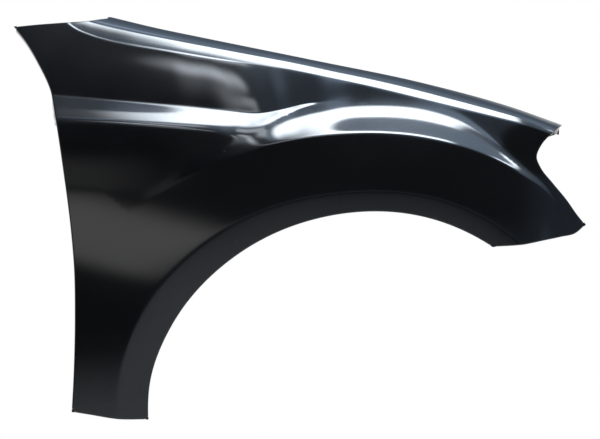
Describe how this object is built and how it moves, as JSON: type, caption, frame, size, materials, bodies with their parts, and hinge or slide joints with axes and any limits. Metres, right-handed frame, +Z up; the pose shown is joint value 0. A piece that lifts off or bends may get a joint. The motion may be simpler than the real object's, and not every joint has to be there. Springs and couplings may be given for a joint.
{
  "type": "car fender",
  "caption": "Pressed steel front fender for the right-hand side of a car, with a flared wheel opening, shoulder and waist creases and turned-in fixing flanges.",
  "frame": {"origin": "underside of the middle land of the top flange, beside its bolt slot", "axes": "+X to the front of the car, +Y inboard from the outer face, +Z up; the panel keeps the attitude it has on the car"},
  "size_m": [1.003, 0.1458, 0.7055],
  "materials": {
    "black_primer": "semi-gloss black primer"
  },
  "bodies": {
    "root": {"fender_panel": "black_primer"}
  },
  "joints": []
}
